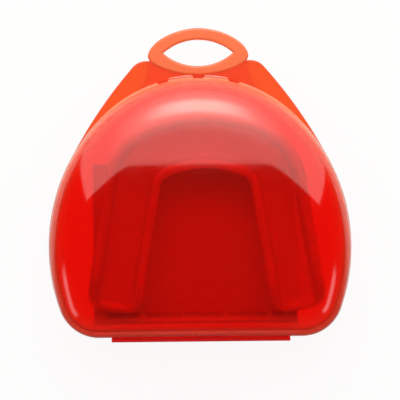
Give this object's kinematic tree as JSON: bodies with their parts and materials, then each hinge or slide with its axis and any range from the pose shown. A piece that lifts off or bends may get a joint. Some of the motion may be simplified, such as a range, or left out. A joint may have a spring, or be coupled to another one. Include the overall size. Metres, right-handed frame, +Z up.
{
  "type": "mouthguard with case",
  "caption": "Domed clamshell case with a living hinge and an eye-shaped hanging loop, holding a U-shaped sports mouthguard over a folded leaflet.",
  "frame": {"origin": "middle of the whole object's outline, on the flat back that the case lies on", "axes": "+X to the right seen from the lid, hinge along X on the -Y side, +Y towards the hanging loop, +Z up through the lid"},
  "size_m": [0.0846, 0.0878, 0.028],
  "materials": {
    "case_red": "glossy translucent red polypropylene",
    "guard_milky": "milky soft thermoplastic, satin",
    "paper_white": "uncoated folded paper"
  },
  "bodies": {
    "case_base": {"base_tray": "case_red", "hanger_plate": "case_red", "snap_beads": "case_red", "base_hinge_bar": "case_red", "hinge_web": "case_red", "leaflet": "paper_white"},
    "lid": {"lid_shell": "case_red", "thumb_lips": "case_red", "lid_hinge_bar": "case_red"},
    "guard": {"mouthguard": "guard_milky"}
  },
  "joints": [
    {"name": "lid_hinge", "type": "hinge", "parent": "case_base", "child": "lid", "pos_m": [0, -0.0441, 0.01465], "axis": [1, 0, 0], "range_deg": [0, 180], "deforming": ["hinge_web"]},
    {"name": "guard_lift", "type": "slide", "parent": "case_base", "child": "guard", "axis": [0, 0, 1], "range_m": [0, 0.0024]}
  ]
}
